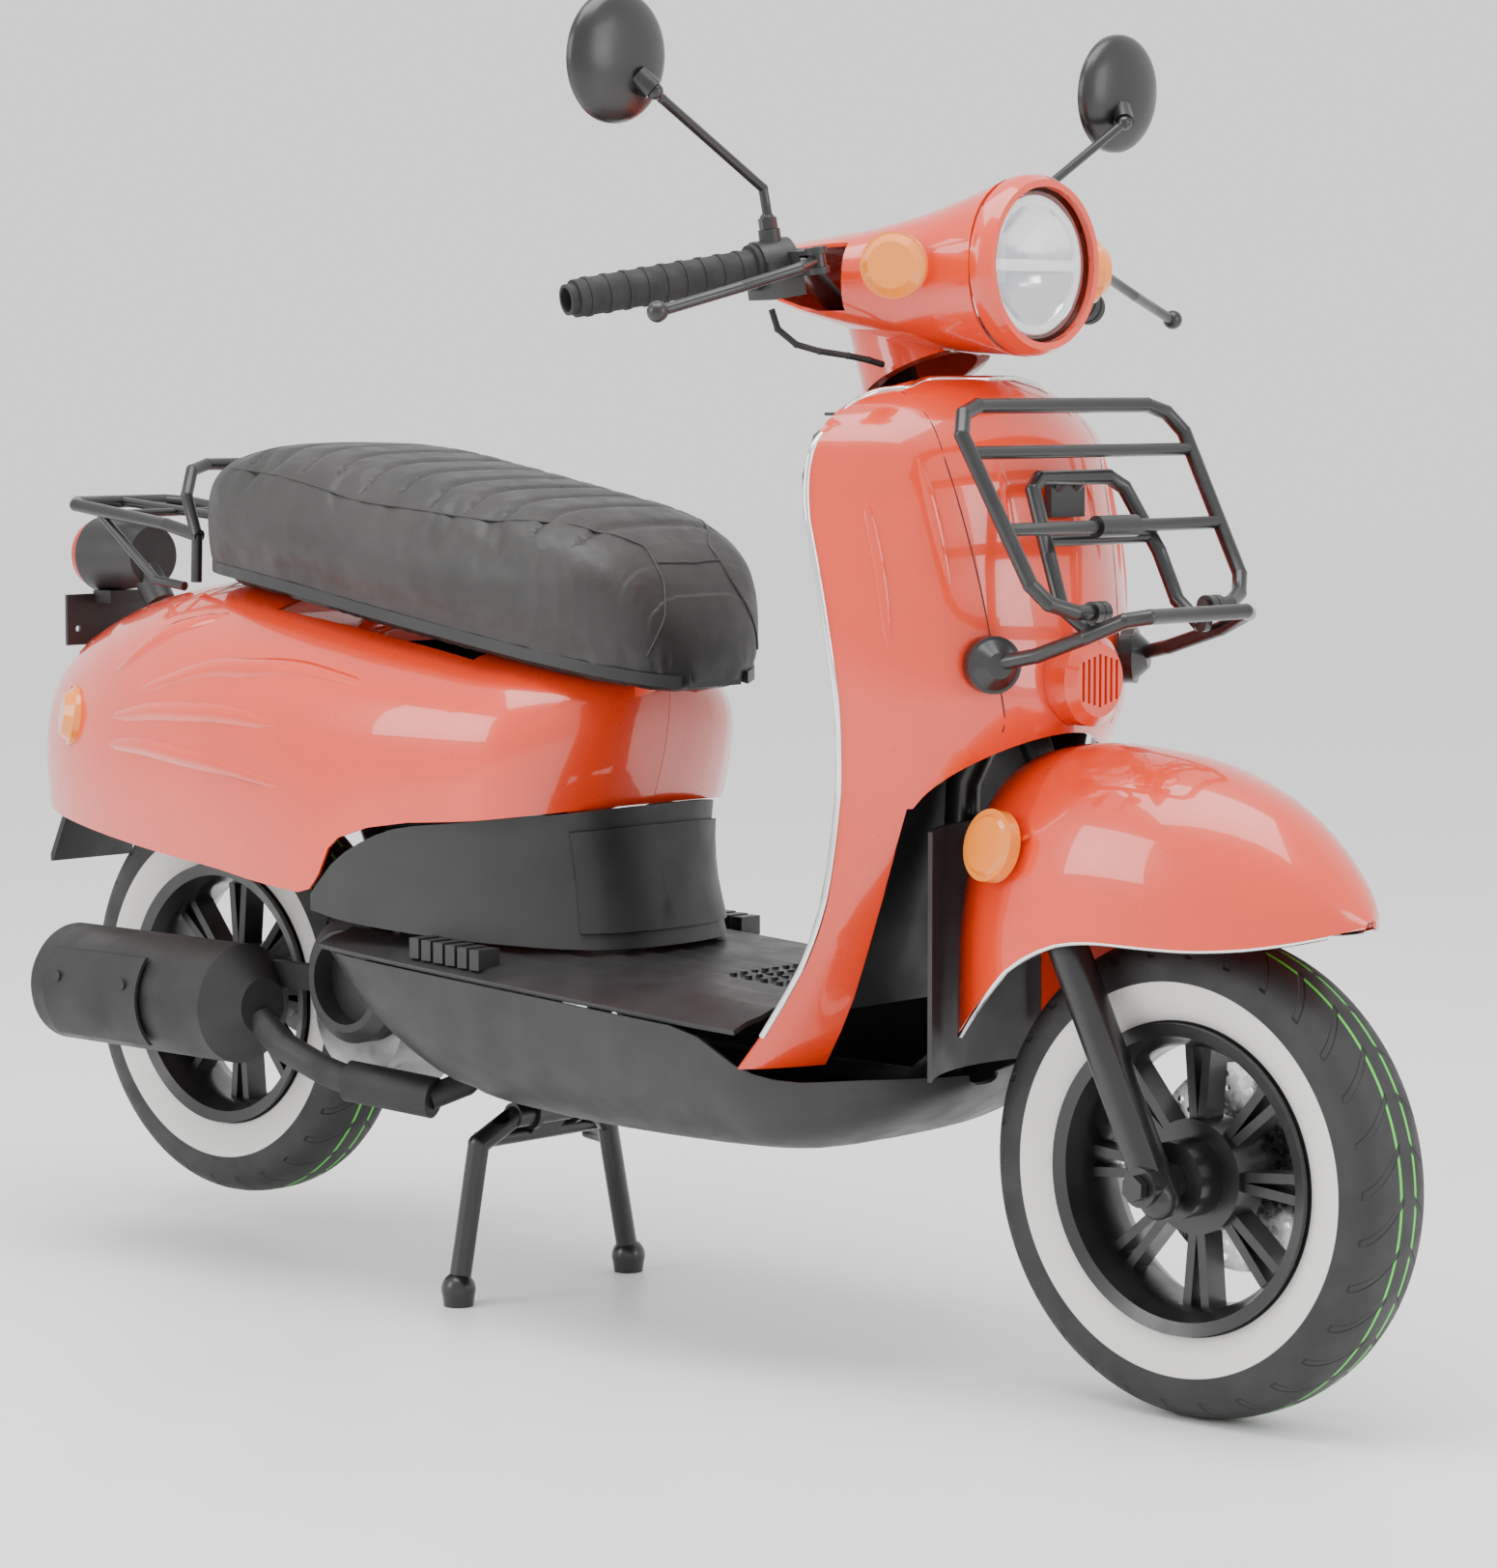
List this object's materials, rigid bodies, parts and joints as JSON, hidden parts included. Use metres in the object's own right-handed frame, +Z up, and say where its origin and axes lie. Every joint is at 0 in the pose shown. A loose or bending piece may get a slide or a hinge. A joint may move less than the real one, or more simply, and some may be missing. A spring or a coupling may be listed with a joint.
{
  "type": "moped scooter",
  "caption": "Retro moped scooter with a step-through floor, round headlamp, folding front rack, tail rack, mirrors and a centre stand.",
  "frame": {"origin": "on the ground under the middle of the bounding box", "axes": "X forward, Y to the rider's left, Z up"},
  "size_m": [1.812, 0.824, 1.2661],
  "materials": {
    "paint": "gloss coral orange lacquer",
    "dark_plastic": "satin charcoal grained plastic",
    "black_metal": "satin black powder coat",
    "seat_vinyl": "dark grey stitched vinyl",
    "rubber": "matte black rubber",
    "tyre": "black tyre with wide white walls",
    "disc_steel": "brushed steel",
    "raw_alloy": "cast aluminium",
    "clear_lens": "clear lens over a chromed reflector",
    "red_lens": "red lens",
    "amber_lens": "amber lens",
    "switch_grey": "grey plastic"
  },
  "bodies": {
    "chassis": {"frame_tubes": "black_metal", "rear_cowl": "paint", "belly_pan": "dark_plastic", "floorboard": "dark_plastic", "leg_shield": "paint", "inner_shield": "dark_plastic", "side_panel": "dark_plastic", "access_cover": "dark_plastic", "storage_bucket": "dark_plastic", "rear_rack": "black_metal", "tail_housing": "dark_plastic", "tail_lens": "red_lens", "mudflap": "dark_plastic", "rear_indicators": "amber_lens", "horn_cover": "paint", "front_carrier": "black_metal", "wheel_well": "dark_plastic"},
    "key": {"ignition_key": "disc_steel"},
    "seat": {"seat_cushion": "seat_vinyl", "seat_pan": "dark_plastic"},
    "steering": {"steering_stem": "black_metal", "handlebar": "black_metal", "headset_cowl": "paint", "headlight_bezel": "paint", "headlight_lens": "clear_lens", "front_indicator_right": "amber_lens", "front_indicator_left": "amber_lens", "front_fender": "paint", "fender_reflectors": "amber_lens", "switch_housing_right": "dark_plastic", "switch_housing_left": "dark_plastic", "grip_left": "rubber", "throttle_cable": "rubber"},
    "fork": {"fork_lowers": "black_metal", "brake_caliper": "raw_alloy"},
    "front_wheel": {"front_rim": "black_metal", "front_tyre": "tyre", "brake_disc": "disc_steel"},
    "throttle": {"throttle_grip": "rubber"},
    "lever_right": {"brake_lever_right": "black_metal"},
    "lever_left": {"brake_lever_left": "black_metal"},
    "stem_right": {"mirror_stem_right": "black_metal"},
    "stem_left": {"mirror_stem_left": "black_metal"},
    "mirror_right": {"mirror_head_right": "black_metal"},
    "mirror_left": {"mirror_head_left": "black_metal"},
    "rack": {"front_rack_grid": "black_metal"},
    "start": {"start_button": "switch_grey"},
    "horn": {"horn_button": "switch_grey"},
    "signal": {"signal_switch": "switch_grey"},
    "engine": {"engine_case": "raw_alloy", "fan_cover": "dark_plastic", "exhaust": "black_metal"},
    "rear_wheel": {"rear_rim": "black_metal", "rear_tyre": "tyre"},
    "stand": {"centre_stand": "black_metal"},
    "prop": {"side_stand": "raw_alloy"},
    "shock": {"shock_body": "black_metal", "shock_spring": "black_metal"},
    "damper": {"shock_rod": "disc_steel"}
  },
  "joints": [
    {"name": "steering_turn", "type": "hinge", "parent": "chassis", "child": "steering", "pos_m": [0.67402, 0, 0.21192], "axis": [-0.4384, 0, 0.8988], "range_deg": [-32, 32]},
    {"name": "fork_travel", "type": "slide", "parent": "steering", "child": "fork", "axis": [-0.4384, 0, 0.8988], "range_m": [0, 0.045], "stiffness_N_per_m": 9000},
    {"name": "front_wheel_spin", "type": "hinge", "parent": "fork", "child": "front_wheel", "pos_m": [0.6875, 0, 0.2185], "axis": [0, 1, 0], "continuous": true},
    {"name": "throttle_twist", "type": "hinge", "parent": "steering", "child": "throttle", "pos_m": [0.3195, -0.196, 1.027], "axis": [-0.3431, -0.9254, -0.1612], "range_deg": [0, 70], "stiffness_Nm_per_rad": 0.3},
    {"name": "brake_pull_right", "type": "hinge", "parent": "steering", "child": "lever_right", "pos_m": [0.38367, -0.18401, 1.03248], "axis": [0.056, 0.1511, -0.9869], "range_deg": [0, 12], "stiffness_Nm_per_rad": 2},
    {"name": "brake_pull_left", "type": "hinge", "parent": "steering", "child": "lever_left", "pos_m": [0.38367, 0.18401, 1.03248], "axis": [-0.056, 0.1511, 0.9869], "range_deg": [0, 12], "stiffness_Nm_per_rad": 2},
    {"name": "mirror_arm_right", "type": "hinge", "parent": "steering", "child": "stem_right", "pos_m": [0.32755, -0.18004, 1.0299], "axis": [-0.056, -0.1511, 0.9869], "range_deg": [-15, 15]},
    {"name": "mirror_arm_left", "type": "hinge", "parent": "steering", "child": "stem_left", "pos_m": [0.32755, 0.18004, 1.0299], "axis": [-0.056, 0.1511, 0.9869], "range_deg": [-15, 15]},
    {"name": "mirror_tilt_right", "type": "hinge", "parent": "stem_right", "child": "mirror_right", "pos_m": [0.3255, -0.332, 1.178], "axis": [0, 1, 0], "range_deg": [-8, 8]},
    {"name": "mirror_tilt_left", "type": "hinge", "parent": "stem_left", "child": "mirror_left", "pos_m": [0.3255, 0.332, 1.178], "axis": [0, 1, 0], "range_deg": [-8, 8]},
    {"name": "start_press", "type": "slide", "parent": "steering", "child": "start", "axis": [0.9376, -0.3477, 0], "range_m": [0, 0.003], "stiffness_N_per_m": 300},
    {"name": "horn_press", "type": "slide", "parent": "steering", "child": "horn", "axis": [0.9376, 0.3477, 0], "range_m": [0, 0.003], "stiffness_N_per_m": 300},
    {"name": "signal_slide", "type": "slide", "parent": "steering", "child": "signal", "axis": [-0.056, 0.1511, 0.9869], "range_m": [-0.004, 0.004]},
    {"name": "key_turn", "type": "hinge", "parent": "chassis", "child": "key", "pos_m": [0.3425, 0, 0.77], "axis": [1, 0, 0], "range_deg": [0, 60]},
    {"name": "rack_fold", "type": "hinge", "parent": "chassis", "child": "rack", "pos_m": [0.6255, 0, 0.722], "axis": [0, 1, 0], "range_deg": [0, 85]},
    {"name": "seat_lift", "type": "hinge", "parent": "chassis", "child": "seat", "pos_m": [0.0615, 0, 0.636], "axis": [0, 1, 0], "range_deg": [0, 70]},
    {"name": "engine_swing", "type": "hinge", "parent": "chassis", "child": "engine", "pos_m": [-0.2175, 0, 0.29], "axis": [0, 1, 0], "range_deg": [0, 6]},
    {"name": "rear_wheel_spin", "type": "hinge", "parent": "engine", "child": "rear_wheel", "pos_m": [-0.6125, 0, 0.266], "axis": [0, 1, 0], "continuous": true},
    {"name": "centre_stand_fold", "type": "hinge", "parent": "chassis", "child": "stand", "pos_m": [-0.1435, 0, 0.186], "axis": [0, 1, 0], "range_deg": [0, 63]},
    {"name": "side_stand_swing", "type": "hinge", "parent": "chassis", "child": "prop", "pos_m": [-0.0545, 0.158, 0.205], "axis": [0, -1, 0], "range_deg": [0, 80]},
    {"name": "shock_lean", "type": "hinge", "parent": "chassis", "child": "shock", "pos_m": [-0.5905, 0.092, 0.56], "axis": [0, 1, 0], "range_deg": [-3, 0]},
    {"name": "shock_stroke", "type": "slide", "parent": "shock", "child": "damper", "axis": [0, 0, 1], "range_m": [0, 0.042], "deforming": ["shock_spring"]}
  ],
  "couplings": [
    {"joint": "shock_stroke", "follows": "engine_swing", "m_per_rad": 0.3673},
    {"joint": "shock_lean", "follows": "engine_swing", "ratio": -0.43}
  ]
}
